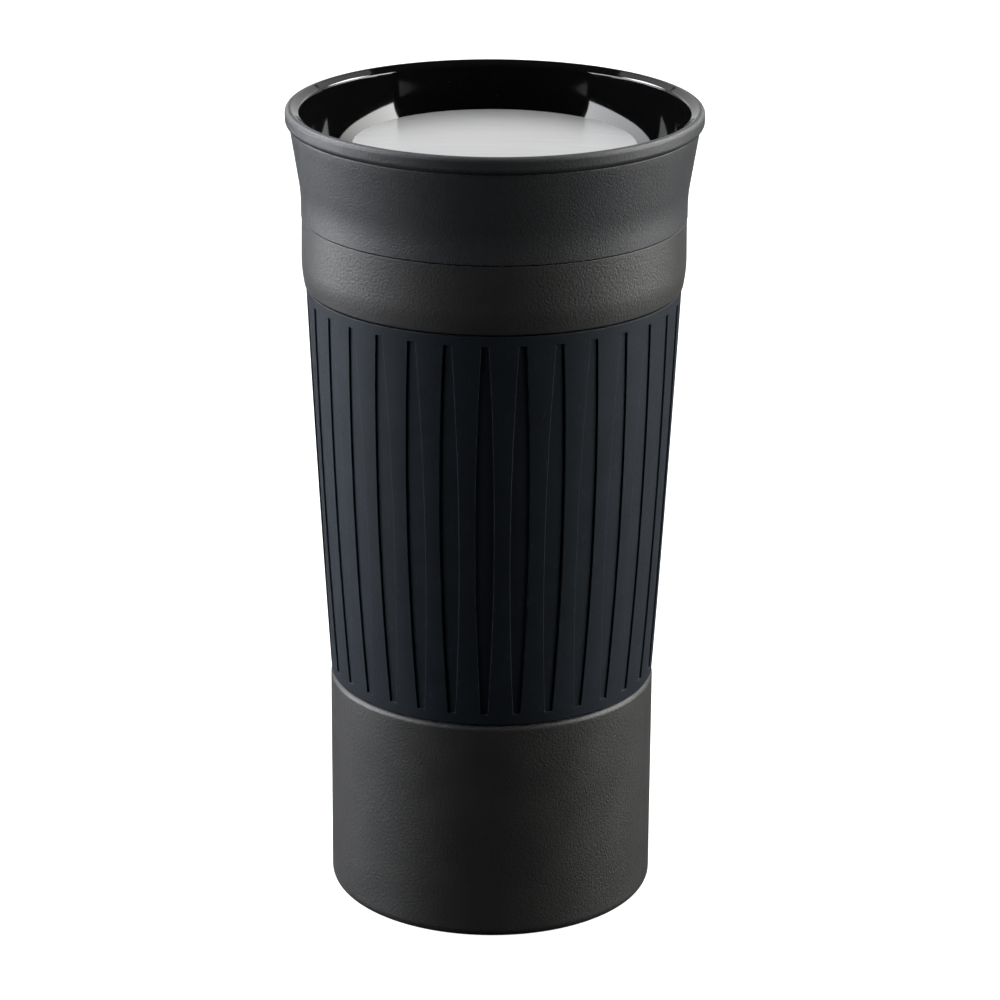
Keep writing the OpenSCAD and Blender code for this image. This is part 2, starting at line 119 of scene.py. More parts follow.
# Lid
SEAM_Z = (NECK_TOP_Z + collar_low.z) / 2
RIM_R = collar_high.x
RIM_TOP_Z = collar_high.z
RIM_TUBE = 1.5              # half the width of the rim
LIP_ROUND = 1.0             # outer round of the rim's crest
LIP_TILT = 28               # slope of the crest's inner face
BEAD_H = 3.65               # height of the bead round the rim
BEAD_ROUND = 1.3
RIM_MID_R = RIM_R - RIM_TUBE
RIM_MID_Z = RIM_TOP_Z - RIM_TUBE
COLLAR_R = 39.9
LID_WALL = 1.3
BOWL_FLOOR_Z = SEAM_Z + 6.2
SEAT_Z = bowl_low.z
SEAT_R = 29
FLANGE_Z = plug_high.z - 1.3
PLUG_R = gasket_high.x - 0.25
PLUG_IN_R = PLUG_R - 1.5
THREAD_LEAD = 12            # rise of the lid in one turn
THREAD_STARTS = 3
THREAD_ARC = 100            # degrees covered by each ridge
LEAD_IN = 14                # degrees over which a ridge rises at its ends
BOWL_SLOPE = 8.43           # lean of the bowl's wall from upright, in degrees
BOWL_CURL = 3.58            # how far the wall curves in beyond that lean
BOWL_CURL_POWER = 4.08
BOWL_BEND_H = 1.9           # height of the round between the wall and the floor

# Button
CAP_R = cap_high.x
DISC_R = CAP_R - 0.12       # the disc's rolled edge covers the body's edge
DISC_DOME = 1.3
DISC_EDGE_Z = disc_high.z - DISC_DOME
CAP_LIP_Z = cap_high.z
STEM_R = stem_high.x


# ---------------------------------------------------------------- turned and swept shapes

def arc(centre_r, centre_z, radius, start, end, pieces=8):
    """Points of an arc in the half plane of a turned outline; angles in degrees from outwards."""
    angles = [math.radians(start + (end - start) * i / pieces) for i in range(pieces + 1)]
    return [(centre_r + radius * math.cos(a), centre_z + radius * math.sin(a)) for a in angles]


def rounded(points, radius, pieces=4):
    """A closed outline whose corners are cut by a small round, so that edges catch the light."""
    outline = []
    for i, here in enumerate(points):
        before, after = points[i - 1], points[(i + 1) % len(points)]
        corner = Vector(here)
        to_before = Vector(before) - corner
        to_after = Vector(after) - corner
        cut = min(radius, to_before.length * 0.45, to_after.length * 0.45)
        if here[0] < 1e-6:
            outline.append(here)
            continue
        start = corner + to_before.normalized() * cut
        end = corner + to_after.normalized() * cut
        for step in range(pieces + 1):
            t = step / pieces
            point = start * (1 - t) ** 2 + corner * 2 * t * (1 - t) + end * t * t
            outline.append((point.x, point.y))
    return outline


def between(low, high, count):
    """Evenly spaced numbers from low to high, both ends included."""
    return [low + (high - low) * i / count for i in range(count + 1)]


def shaded(name, mesh, crease=38):
    """Turns a finished bmesh into a smooth-shaded object whose broad faces stay true."""
    data = bpy.data.meshes.new(name)
    mesh.to_mesh(data)
    mesh.free()
    data.shade_smooth()
    data.set_sharp_from_angle(angle=math.radians(crease))
    piece = bpy.data.objects.new(name, data)
    bpy.context.scene.collection.objects.link(piece)
    return piece


def even_normals(piece):
    """Lets large faces rule the shading, so that small rounds don't darken the flats beside them."""
    weighting = piece.modifiers.new("even_normals", "WEIGHTED_NORMAL")
    weighting.keep_sharp = True
    return piece


def spin_outline(mesh, outline, steps=AROUND, angle=360, climb=0):
    """Spins an outline of (radius, height) points about Z; climb is the rise over the whole angle."""
    on_axis = outline[0][0] < 1e-6 and outline[-1][0] < 1e-6
    points = [mesh.verts.new((r * MM, 0, z * MM)) for r, z in outline]
    last = len(points) - 1 if on_axis else len(points)
    lines = [mesh.edges.new((points[i], points[(i + 1) % len(points)])) for i in range(last)]
    whole = angle == 360 and climb == 0
    if not whole:
        mesh.faces.new(points)
    bmesh.ops.spin(mesh, geom=points + lines, cent=(0, 0, 0), axis=(0, 0, 1),
                   dvec=(0, 0, climb * MM / steps), angle=math.radians(angle), steps=steps,
                   use_merge=whole)


def tidy_skin(mesh):
    """Closes seams and poles, and points the faces outwards."""
    bmesh.ops.remove_doubles(mesh, verts=mesh.verts, dist=1e-6)
    bmesh.ops.recalc_face_normals(mesh, faces=mesh.faces)


def turned(name, outline, steps=AROUND):
    """A solid turned from a closed outline."""
    mesh = bmesh.new()
    spin_outline(mesh, outline, steps)
    tidy_skin(mesh)
    return even_normals(shaded(name, mesh))


def thread_ridge(mesh, root_r, crest_r, start, middle_z, steps=48):
    """One start of a screw thread: a rounded ridge that climbs with the lead and tapers at its ends."""
    pitch = THREAD_LEAD / THREAD_STARTS
    root, crest = pitch * 0.21, pitch * 0.1
    section = [(root_r, -root), (root_r + (crest_r - root_r) * 0.85, -crest * 1.35),
               (crest_r, -crest * 0.6), (crest_r, crest * 0.6),
               (root_r + (crest_r - root_r) * 0.85, crest * 1.35), (root_r, root)]
    old = set(mesh.verts)
    climb = THREAD_LEAD * THREAD_ARC / 360
    spin_outline(mesh, [(r, z + middle_z) for r, z in section], steps, THREAD_ARC, climb)
    ridge = [point for point in mesh.verts if point not in old]
    bmesh.ops.contextual_create(mesh, geom=[edge for edge in mesh.edges
                                            if edge.is_boundary and edge.verts[0] in ridge])
    lead_in = math.radians(LEAD_IN)
    arc_angle = math.radians(THREAD_ARC)
    for point in ridge:
        turn = math.atan2(point.co.y, point.co.x) % math.tau
        turn = 0 if turn > math.tau - 0.01 else turn
        near_end = min(turn, arc_angle - turn)
        height = 0.1 + 0.9 * math.sin(math.pi / 2 * min(1, max(0, near_end / lead_in)))
        radius = math.hypot(point.co.x, point.co.y)
        wanted = root_r * MM + (radius - root_r * MM) * height
        point.co.x *= wanted / radius
        point.co.y *= wanted / radius
    bmesh.ops.rotate(mesh, verts=ridge, cent=(0, 0, 0),
                     matrix=Matrix.Rotation(math.radians(start), 3, "Z"))


# ---------------------------------------------------------------- vessel

def outer_shell():
    neck_side = [(NECK_FOOT_R + (NECK_R - NECK_FOOT_R) * math.sin(math.pi / 2 * t),
                  SHELF_Z + 0.4 + NECK_FOOT_H * t) for t in between(0, 1, 10)]
    outside = (
        arc(BODY_R - FOOT_ROUND, FOOT_Z + FOOT_ROUND, FOOT_ROUND, -90, 0, 12)
        + [(BODY_R, z) for z in between(FOOT_Z + 8, STEP_Z - 4, 4)]
        + arc(BODY_R - STEP_ROUND, STEP_Z - STEP_ROUND, STEP_ROUND, 0, 90, 12)
        + [(RECESS_LOW_R + 0.2, STEP_Z), (RECESS_LOW_R, STEP_Z + 0.2)]
        + [(RECESS_TOP_R, SHELF_Z - 0.2), (RECESS_TOP_R + 0.2, SHELF_Z)]
        + arc(NECK_FOOT_R - 0.4, SHELF_Z + 0.4, 0.4, -90, 0, 5)[:-1]
        + neck_side
        + [(NECK_R - 0.1 * t, SHELF_Z + 5.4 + (NECK_TOP_Z - 0.4 - SHELF_Z - 5.4) * t)
           for t in between(0.2, 1, 4)]
        + arc(NECK_R - 0.25, NECK_TOP_Z - 0.1, 0.15, 0, 90, 6))
    inside = [
        (MOUTH_R + STEEL, NECK_TOP_Z + 0.05), (MOUTH_R + STEEL, NECK_TOP_Z - STEEL),
        (NECK_R - 1.3, NECK_TOP_Z - STEEL), (NECK_R - 0.7, NECK_TOP_Z - 1.3),
        (NECK_R - STEEL, SHELF_Z + NECK_FOOT_H), (NECK_FOOT_R - STEEL - 0.2, SHELF_Z + STEEL),
        (RECESS_TOP_R - STEEL, SHELF_Z + STEEL), (RECESS_LOW_R - STEEL, STEP_Z - STEEL),
        (BODY_R - 1.6, STEP_Z - STEEL), (BODY_R - STEEL, STEP_Z - 1.6),
        (BODY_R - STEEL, FOOT_Z + FOOT_ROUND), (BODY_R - FOOT_ROUND, FOOT_Z + STEEL),
        (BODY_R - 2.9, FOOT_Z + STEEL), (BODY_R - 2.9, FOOT_Z)]
    return turned("steel_body", outside + inside, 256)


def inner_liner():
    def side(out, floor_z):
        return ([(0, floor_z)]
                + arc(LINER_LOW_R - LINER_CORNER, LINER_FLOOR_Z + LINER_CORNER,
                      LINER_CORNER + out, -90, 0, 10)
                + [(LINER_LOW_R + out, STEP_Z), (THROAT_R + out, SHELF_Z)])
    outside = side(STEEL, LINER_FLOOR_Z - STEEL) + [
        (THROAT_R + STEEL, GASKET_LEDGE_Z - STEEL), (MOUTH_R + STEEL, GASKET_LEDGE_Z - STEEL)]
    lip = arc(MOUTH_R + STEEL / 2, NECK_TOP_Z - STEEL / 2, STEEL / 2, 0, 180, 6)
    inside = [(MOUTH_R, GASKET_LEDGE_Z), (THROAT_R + 0.4, GASKET_LEDGE_Z),
              (THROAT_R, GASKET_LEDGE_Z - 0.4)]
    return turned("cup_liner", outside + lip + inside + side(0, LINER_FLOOR_Z)[::-1], 192)


def base_cover():
    top = cover_high.z
    edge = cover_high.x
    outline = rounded(
        [(PLUG_PIN_R, top - STEEL), (pad_high.x + 0.4, top - STEEL), (edge - 1.2, FOOT_Z),
         (edge, FOOT_Z), (edge, FOOT_Z + STEEL), (edge - 0.8, FOOT_Z + STEEL),
         (pad_high.x + 0.8, top), (PLUG_PIN_R, top)], 0.25)
    return turned("base_plate", outline, 128)


def foot_pad():
    """A soft pad with a raised outer ring, four fine rings moulded in it and a hollow middle."""
    top = cover_high.z - STEEL
    edge = pad_high.x
    rings = []
    for middle in between(edge - 5.6, edge - 2, 3):
        rings += [(middle - 0.5, 0), (middle - 0.25, 0.22), (middle + 0.25, 0.22), (middle + 0.5, 0)]
    outline = ([(0, 0.3), (20.5, 0.3), (20.8, 0)] + rings
               + [(edge - 0.5, 0)] + arc(edge - 0.5, 0.5, 0.5, -90, 0, 5)
               + [(edge, top), (3.8, top), (3.8, top - 1), (0, top - 1)])
    return turned("non_slip_pad", outline, 128)


def sleeve_radius(z):
    """Outer radius of the sleeve at a height: a cone with a slight bow."""
    t = (z - STEP_Z) / (SHELF_Z - STEP_Z)
    return SLEEVE_LOW_R + (SLEEVE_TOP_R - SLEEVE_LOW_R) * t + 4 * SLEEVE_BOW * t * (1 - t)


def grip_sleeve():
    """The silicone sleeve with spindle-shaped slots moulded all round it.

    One sector is a grid whose columns run along the slot's edges; it is then repeated round."""
    slots = 32
    first_slot = -92.5
    margin = 2.5
    depth = 0.38
    end_w, middle_w = 1.6, 4.0
    slot_low, slot_high = STEP_Z + margin, SHELF_Z - margin
    low, high = STEP_Z + FIT, SHELF_Z - SLEEVE_GAP
    edge = 0.35
    # Distance past the slot's outline, and how much of the depth is reached there.
    wall = [(-0.2, 1.0), (-0.12, 0.985), (-0.075, 0.93), (-0.045, 0.8), (-0.02, 0.55),
            (0.0, 0.25), (0.025, 0.1), (0.06, 0.025), (0.12, 0.0)]

    def sunk(past):
        """Share of the slot's depth at a distance past its outline."""
        if past <= wall[0][0]:
            return 1.0
        for (near, deep), (far, shallow) in zip(wall, wall[1:]):
            if past <= far:
                return deep + (shallow - deep) * (past - near) / (far - near)
        return 0.0

    ends = [past for past, share in wall]
    outside = ([slot_low - past for past in reversed(ends)]
               + between(slot_low + 0.8, slot_high - 0.8, 34)
               + [slot_high + past for past in ends])
    skin = ([(sleeve_radius(z), z) for z in outside if low + edge < z < high - edge])
    top_round = arc(sleeve_radius(high) - edge, high - edge, edge, 0, 90, 5)
    low_round = arc(sleeve_radius(low) - edge, low + edge, edge, -90, 0, 5)
    inner_top = RECESS_TOP_R + FIT
    inner_low = RECESS_LOW_R + FIT
    outline = (low_round + skin + top_round
               + [(inner_top + 0.2, high), (inner_top, high - 0.2),
                  (inner_low, low + 0.2), (inner_low + 0.2, low)])
    outline.append(outline[0])

    half_columns = [0, 0.5] + [None] * len(wall) + [0.34, 0.67, 1]

    def column_place(index, half_width, half_pitch):
        """Arc length from the slot's axis to a column of the grid."""
        floor_edge = half_width + wall[0][0]
        land_edge = half_width + wall[-1][0]
        side = half_columns[abs(index)]
        if side is None:
            place = half_width + wall[abs(index) - 2][0]
        elif abs(index) < 2:
            place = floor_edge * side
        else:
            place = land_edge + (half_pitch - land_edge) * side
        return math.copysign(place, index)

    half = len(half_columns) - 1
    rows = len(outline) - 1
    mesh = bmesh.new()
    bmesh.ops.create_grid(mesh, x_segments=2 * half, y_segments=rows, size=0.5)
    for point in mesh.verts:
        column = round((point.co.x + 0.5) * 2 * half) - half
        r, z = outline[round((point.co.y + 0.5) * rows)]
        t = min(1, max(0, (z - slot_low) / (slot_high - slot_low)))
        half_width = end_w / 2 + (middle_w - end_w) * 2 * t * (1 - t)
        along = column_place(column, half_width, math.pi * r / slots)
        past_side = abs(along) - half_width
        past_end = max(slot_low - z, z - slot_high)
        outer = r > sleeve_radius(z) - 0.5
        cut = depth * sunk(max(past_side, -1)) * sunk(max(past_end, -1)) if outer else 0
        angle = along / r
        point.co = Vector(((r - cut) * math.cos(angle), (r - cut) * math.sin(angle), z)) * MM
    bmesh.ops.rotate(mesh, verts=mesh.verts, cent=(0, 0, 0),
                     matrix=Matrix.Rotation(math.radians(first_slot), 3, "Z"))
    bmesh.ops.spin(mesh, geom=mesh.verts[:] + mesh.edges[:] + mesh.faces[:], cent=(0, 0, 0),
                   axis=(0, 0, 1), angle=math.tau * (slots - 1) / slots, steps=slots - 1,
                   use_duplicate=True)
    tidy_skin(mesh)
    return even_normals(shaded("silicone_sleeve", mesh, 60))


def neck_thread_ring():
    mesh = bmesh.new()
    inner = mouth_ring_high.x - 1.05
    spin_outline(mesh, rounded([(inner, mouth_ring_low.z), (mouth_ring_high.x, mouth_ring_low.z),
                                (mouth_ring_high.x, mouth_ring_high.z),
                                (inner, mouth_ring_high.z)], 0.35), 160)
    tidy_skin(mesh)
    for start in range(THREAD_STARTS):
        thread_ridge(mesh, inner + 0.15, inner - 0.8, 360 / THREAD_STARTS * start, SEAM_Z - 4.2)
    tidy_skin(mesh)
    return even_normals(shaded("mouth_thread", mesh))


# ---------------------------------------------------------------- lid

def bowl_radius(depth):
    """Radius of the bowl's wall at a depth below the rim's middle: it curves in towards the floor."""
    whole = RIM_MID_Z - BOWL_FLOOR_Z
    straight = RIM_MID_R - RIM_TUBE - depth * math.tan(math.radians(BOWL_SLOPE))
    return straight - BOWL_CURL * (depth / whole) ** BOWL_CURL_POWER


def lid_bowl():
    floor_depth = RIM_MID_Z - BOWL_FLOOR_Z
    bend_depth = floor_depth - BOWL_BEND_H
    bend_r = bowl_radius(bend_depth)
    crest = (arc(RIM_R - LIP_ROUND, RIM_TOP_Z - LIP_ROUND, LIP_ROUND, 97, 90 + LIP_TILT, 6)
             + arc(RIM_MID_R - 0.77, RIM_TOP_Z - 1.35, 0.7, 90 + LIP_TILT, 171.5, 12))
    wall = [(bowl_radius(d), RIM_MID_Z - d) for d in between(0, bend_depth, 40)]
    steep = math.atan2(bend_r - bowl_radius(bend_depth + 0.1), 0.1)
    corner_r = BOWL_BEND_H / (1 - math.sin(steep))
    corner = [(bend_r - corner_r * (math.cos(steep) - math.cos(a)),
               BOWL_FLOOR_Z + corner_r * (1 - math.sin(a)))
              for a in between(steep, math.pi / 2, 12)][1:]
    seat = (
        [(SEAT_R + 0.4, BOWL_FLOOR_Z)]
        + arc(SEAT_R + 0.4, BOWL_FLOOR_Z - 0.4, 0.4, 90, 180, 5)[1:]
        + [(SEAT_R, SEAT_Z + 0.2), (SEAT_R + 0.2, SEAT_Z), (SEAT_R + LID_WALL - 0.1, SEAT_Z),
           (SEAT_R + LID_WALL, SEAT_Z + 0.1), (SEAT_R + LID_WALL, BOWL_FLOOR_Z - LID_WALL),
           (36, BOWL_FLOOR_Z - LID_WALL), (36, FLANGE_Z + 1.35), (37.6, FLANGE_Z + 1.35),
           (37.6, BOWL_FLOOR_Z)])
    back = [(bowl_radius(d) + LID_WALL, RIM_MID_Z - d) for d in between(bend_depth, 1.2, 12)]
    outline = crest + wall + corner + seat + back + [(RIM_MID_R - 0.15, RIM_MID_Z)]
    return turned("drinking_bowl", outline, 256)


def lid_collar():
    flare = [(COLLAR_R + 30 * (1 - math.cos(a)), SEAM_Z + 2.6 + 30 * math.sin(a))
             for a in between(0, math.radians(9), 12)]
    under_bead = (RIM_R - 0.92, RIM_TOP_Z - BEAD_H - 0.3)
    straight = [(flare[-1][0] + (under_bead[0] - flare[-1][0]) * t,
                 flare[-1][1] + (under_bead[1] - flare[-1][1]) * t) for t in between(0, 1, 6)][1:]
    outside = (
        [(COLLAR_R - 1.4, collar_low.z - 0.08)]
        + arc(COLLAR_R - 0.12, collar_low.z + 0.04, 0.12, -90, 0, 5)
        + [(COLLAR_R, SEAM_Z + 1.4)] + flare + straight
        + [(RIM_R - 1, RIM_TOP_Z - BEAD_H)]
        + arc(RIM_R - BEAD_ROUND, RIM_TOP_Z - BEAD_H + BEAD_ROUND, BEAD_ROUND, -50, 0, 10)
        + arc(RIM_R - LIP_ROUND, RIM_TOP_Z - LIP_ROUND, LIP_ROUND, 0, 94, 14))
    fit = LID_WALL + FIT
    back = ([(RIM_MID_R - 0.12, RIM_MID_Z)]
            + [(bowl_radius(d) + fit, RIM_MID_Z - d) for d in between(1.2, 12, 8)]
            + [(COLLAR_R - 1.4, FLANGE_Z + 1.4)])
    return turned("rim_collar", outside + back, 256)


def lid_thread_ring():
    mesh = bmesh.new()
    flange_r = plug_high.x
    spin_outline(mesh, rounded([(PLUG_IN_R, plug_low.z), (PLUG_R, plug_low.z), (PLUG_R, FLANGE_Z),
                                (flange_r, FLANGE_Z), (flange_r, plug_high.z),
                                (PLUG_IN_R, plug_high.z)], 0.3), 160)
    tidy_skin(mesh)
    for start in range(THREAD_STARTS):
        thread_ridge(mesh, PLUG_R - 0.15, PLUG_R + 1, 360 / THREAD_STARTS * start + 10,
                     SEAM_Z - 6.2 + THREAD_LEAD * 10 / 360)
    tidy_skin(mesh)
    return even_normals(shaded("lid_plug_thread", mesh))


def lid_gasket():
    low, high = gasket_low.z, gasket_high.z
    outer = gasket_high.x
    outline = rounded([(outer - 1.75, low + 0.2), (outer - 1.45, low), (outer - 0.35, low),
                       (outer, low + 0.3), (outer, low + 0.65), (outer - 0.25, high),
                       (outer - 1.75, high)], 0.15, 3)
    return turned("lid_seal_ring", outline, 128)


def return_spring():
    """An open coil of even pitch, the wire's two ends capped flat."""
    wire_r = 0.4
    coil_r = spring_high.x - wire_r
    turns = 4
    steps = turns * 40
    rise = spring_high.z - spring_low.z - 2 * wire_r
    section = arc(coil_r, spring_low.z + wire_r, wire_r, 0, 330, 11)
    mesh = bmesh.new()
    spin_outline(mesh, section, steps, 360 * turns, rise)
    bmesh.ops.holes_fill(mesh, edges=[edge for edge in mesh.edges if edge.is_boundary])
    tidy_skin(mesh)
    return shaded("coil_spring", mesh)


# ---------------------------------------------------------------- button and valve

def dome_z(r):
    """Height of the disc's domed top at a distance from the axis."""
    ball = (DISC_R ** 2 + DISC_DOME ** 2) / (2 * DISC_DOME)
    return DISC_EDGE_Z + math.sqrt(ball ** 2 - r ** 2) - (ball - DISC_DOME)


def button_disc():
    """A shallow domed disc, its edge rolled down over the edge of the button's body."""
    roll = 0.28
    top = [(r, dome_z(r)) for r in between(0, DISC_R - roll - 0.1, 24)]
    lip = arc(DISC_R - roll, dome_z(DISC_R - roll) - roll, roll, 84, 0, 7)
    low = disc_low.z
    under = [(DISC_R, low + 0.1), (DISC_R - 0.1, low), (DISC_R - 0.5, low),
             (DISC_R - 0.6, low + 0.1), (DISC_R - 0.6, dome_z(DISC_R - 0.6) - 0.6)]
    under += [(r, dome_z(r) - 0.6) for r in between(DISC_R - 3, 0, 6)]
    return turned("brushed_button_disc", top + lip + under, 256)


def button_cap():
    low = cap_low.z
    side_low = CAP_LIP_Z - 2.4
    seat = disc_low.z - 0.05
    outline = (
        [(0, low), (CAP_R - 1.6, low), (CAP_R - 1.35, low + 0.15), (CAP_R - 1.2, side_low)]
        + arc(CAP_R - 0.4, side_low + 0.4, 0.4, -90, 0, 5)
        + arc(CAP_R - 0.22, seat - 0.22, 0.22, 0, 90, 5)
        + [(r, dome_z(r) - 0.93) for r in between(DISC_R - 0.8, 0, 6)])
    return turned("button_body", outline, 192)


def valve_stem():
    low, high = stem_low.z, stem_high.z
    step = plate_high.z - 2.9 + 0.01
    thin = STEM_R - 0.8
    outline = rounded([(0, low), (thin, low), (thin, step), (STEM_R, step), (STEM_R, high), (0, high)],
                      0.3)
    return turned("push_stem", outline, 64)


def valve_plate():
    hub = 9
    bore = STEM_R - 0.8
    edge, low, top = plate_high.x, plate_low.z, plate_high.z
    rim_low = top - 2
    ribs = []
    for middle in between(13, 25, 3):
        share = (middle - hub) / (edge - 3 - hub)
        z = low + (rim_low - low) * share
        ribs += [(middle - 0.6, z - 0.1), (middle - 0.4, z - 0.35), (middle + 0.4, z - 0.25),
                 (middle + 0.6, z + 0.05)]
    outline = rounded(
        [(bore, low), (hub, low)] + ribs
        + [(edge - 3, rim_low), (edge, rim_low), (edge, top), (edge - 4.4, top),
           (edge - 4.8, top - 0.9), (hub + 1, low + 1.6), (hub, low + 2.5), (bore, low + 2.5)], 0.2, 3)
    return turned("sealing_plate", outline, 160)


def valve_seal():
    edge, low, top = seal_high.x, seal_low.z, seal_high.z
    outline = rounded([(edge - 3.9, low), (edge, low), (edge, top - 0.15), (edge - 0.15, top),
                       (edge - 2.1, top), (edge - 2.4, low + 0.25), (edge - 3.9, low + 0.2)], 0.1, 3)
    return turned("face_seal", outline, 160)


def plate_nut():
    """A thumb nut with twelve finger scallops round it."""
    scallops = 12
    around = scallops * 12
    edge = nut_high.x
    low, high = nut_low.z, nut_low.z + 3.4
    bore = STEM_R - 0.8
    outline = rounded([(bore, low), (edge, low), (edge, high), (STEM_R + 1.2, high),
                       (STEM_R + 1.2, nut_high.z), (bore, nut_high.z)], 0.4)
    mesh = bmesh.new()
    spin_outline(mesh, outline, around)
    tidy_skin(mesh)
    for point in mesh.verts:
        radius = math.hypot(point.co.x, point.co.y) / MM
        if radius > edge - 1:
            wave = 0.5 + 0.5 * math.cos(scallops * math.atan2(point.co.y, point.co.x))
            shrink = 1 - 0.6 * wave ** 3 / radius
            point.co.x *= shrink
            point.co.y *= shrink
    return even_normals(shaded("finger_nut", mesh))


# ---------------------------------------------------------------- finishes

class Wire:
    """The output of a shader node; arithmetic on it adds Math nodes."""

    def __init__(self, finish, socket):
        self.finish = finish
        self.socket = socket

    def maths(self, operation, first, second=0.0):
        return self.finish.node("ShaderNodeMath", {"operation": operation}, {0: first, 1: second})

    def __add__(self, other):
        return self.maths("ADD", self, other)

    def __radd__(self, other):
        return self.maths("ADD", other, self)

    def __sub__(self, other):
        return self.maths("SUBTRACT", self, other)

    def __rsub__(self, other):
        return self.maths("SUBTRACT", other, self)

    def __mul__(self, other):
        return self.maths("MULTIPLY", self, other)

    def __rmul__(self, other):
        return self.maths("MULTIPLY", other, self)

    def __truediv__(self, other):
        return self.maths("DIVIDE", self, other)

    def __pow__(self, other):
        return self.maths("POWER", self, other)


class NodeTree:
    """A tree of shader nodes; every node but a shader's own comes from its node method."""

    def __init__(self, tree):
        self.tree = tree

    def node(self, kind, settings=None, inputs=None, output=0):
        """Adds a node: settings first, then the values or links of its sockets."""
        made = self.tree.nodes.new(kind)
        for setting, value in (settings or {}).items():
            if setting == "stops":
                ramp = made.color_ramp.elements
                while len(ramp) < len(value):
                    ramp.new(0.5)
                for stop, (position, shade) in zip(ramp, value):
                    stop.position = position
                    stop.color = (*shade, 1) if isinstance(shade, tuple) else (shade, shade, shade, 1)
            else:
                setattr(made, setting, value)
        for socket, value in (inputs or {}).items():
            if isinstance(value, Wire):
                self.tree.links.new(value.socket, made.inputs[socket])
            else:
                made.inputs[socket].default_value = value
        return Wire(self, made.outputs[output])


class Finish(NodeTree):
    """A material under construction, with one principled shader."""

    def __init__(self, name, **constants):
        self.material = bpy.data.materials.new(name)
        self.material.use_nodes = True
        super().__init__(self.material.node_tree)
        self.tree.nodes.clear()
        self.shader = self.tree.nodes.new("ShaderNodeBsdfPrincipled")
        output = self.tree.nodes.new("ShaderNodeOutputMaterial")
        self.tree.links.new(self.shader.outputs[0], output.inputs["Surface"])
        for socket, value in constants.items():
            self.shader.inputs[socket.replace("_", " ")].default_value = value
        self.place = self.node("ShaderNodeTexCoord", output="Object")

    def feed(self, socket, wire):
        self.tree.links.new(wire.socket, self.shader.inputs[socket])

    def noise(self, grain, detail=2.0, roughness=0.5, place=None, output="Fac"):
        """Noise whose lumps are about grain millimetres across."""
        return self.node("ShaderNodeTexNoise", {"noise_dimensions": "3D"},
                         {"Vector": place or self.place, "Scale": 1 / (grain * MM), "Detail": detail,
                          "Roughness": roughness}, output)

    def stretched(self, scale, turn=(0, 0, 0)):
        """Object coordinates turned and scaled, for grain that runs one way."""
        return self.node("ShaderNodeMapping", {"vector_type": "POINT"},
                         {"Vector": self.place, "Scale": scale, "Rotation": turn}, "Vector")

    def blend(self, share, first, second):
        """A mix of two colours."""
        colours = [(*c, 1) if isinstance(c, tuple) else c for c in (first, second)]
        return self.node("ShaderNodeMix", {"data_type": "RGBA"},
                         {0: share, 6: colours[0], 7: colours[1]}, 2)

    def span(self, wire, low, high, from_low=0.3, from_high=0.7):
        """Spreads a noise's usual range over low to high."""
        return self.node("ShaderNodeMapRange", {"clamp": True},
                         {"Value": wire, "From Min": from_low, "From Max": from_high,
                          "To Min": low, "To Max": high})

    def relief(self, height, depth, under=None):
        """A bump whose full height is depth millimetres; under is a coarser bump beneath it."""
        inputs = {"Height": height, "Distance": depth * MM, "Strength": 1.0}
        if under:
            inputs["Normal"] = under
        return self.node("ShaderNodeBump", None, inputs)

    def radius(self):
        """Distance from the vessel's axis."""
        parts = self.node("ShaderNodeVectorMath", {"operation": "MULTIPLY"},
                          {0: self.place, 1: (1, 1, 0)})
        return self.node("ShaderNodeVectorMath", {"operation": "LENGTH"}, {0: parts}, "Value")


def powder_coat():
    """Charcoal powder coat: an even, fine orange peel over a faint mottle."""
    f = Finish("charcoal_powder_coat", Roughness=0.5, Specular_IOR_Level=0.5)
    mottle = f.noise(9, 3)
    peel = f.noise(0.46, 1.5, 0.45)
    grit = f.noise(0.2, 1.0)
    f.feed("Base Color", f.blend(f.span(mottle, 0, 1), (0.0195, 0.019, 0.0188),
                                 (0.024, 0.0235, 0.0232)))
    f.feed("Roughness", f.span(peel, 0.47, 0.53) + f.span(mottle, -0.015, 0.015))
    f.feed("Normal", f.relief(grit, 0.012, f.relief(peel, 0.075)))
    return f.material


def satin_moulding():
    """The collar's satin plastic, spark-eroded to a fine grain whose raised specks are painted lighter
    as a painted sparkle.
    """
    f = Finish("satin_collar_moulding", Roughness=0.5, Specular_IOR_Level=0.5)
    cloud = f.noise(12, 2)
    grain = f.noise(0.4, 2.0, 0.6)
    # the grain's raised specks are painted a paler grey: painted sparkle, standing in for glints of
    # light
    painted_sparkle = f.span(grain, 0, 1, 0.35, 0.65)
    tone = f.blend(f.span(cloud, 0, 1), (0.0185, 0.0195, 0.0215), (0.0225, 0.0235, 0.0258))
    f.feed("Base Color", f.blend(painted_sparkle * 0.5, tone, (0.031, 0.0325, 0.036)))
    f.feed("Roughness", f.span(grain, 0.44, 0.58))
    f.feed("Normal", f.relief(grain, 0.08))
    return f.material


def gloss_moulding():
    """Polished black plastic with a barely wavy skin and a little dust."""
    f = Finish("polished_black_moulding", Roughness=0.045, Specular_IOR_Level=0.5)
    wave = f.noise(14, 1)
    dust = f.span(f.noise(0.35, 0.0), 0, 1, 0.8, 0.86)
    f.feed("Base Color", f.blend(dust * 0.3, (0.0022, 0.0022, 0.0024), (0.05, 0.05, 0.05)))
    f.feed("Roughness", f.span(wave, 0.035, 0.055) + dust * 0.1)
    f.feed("Normal", f.relief(wave, 0.004))
    return f.material


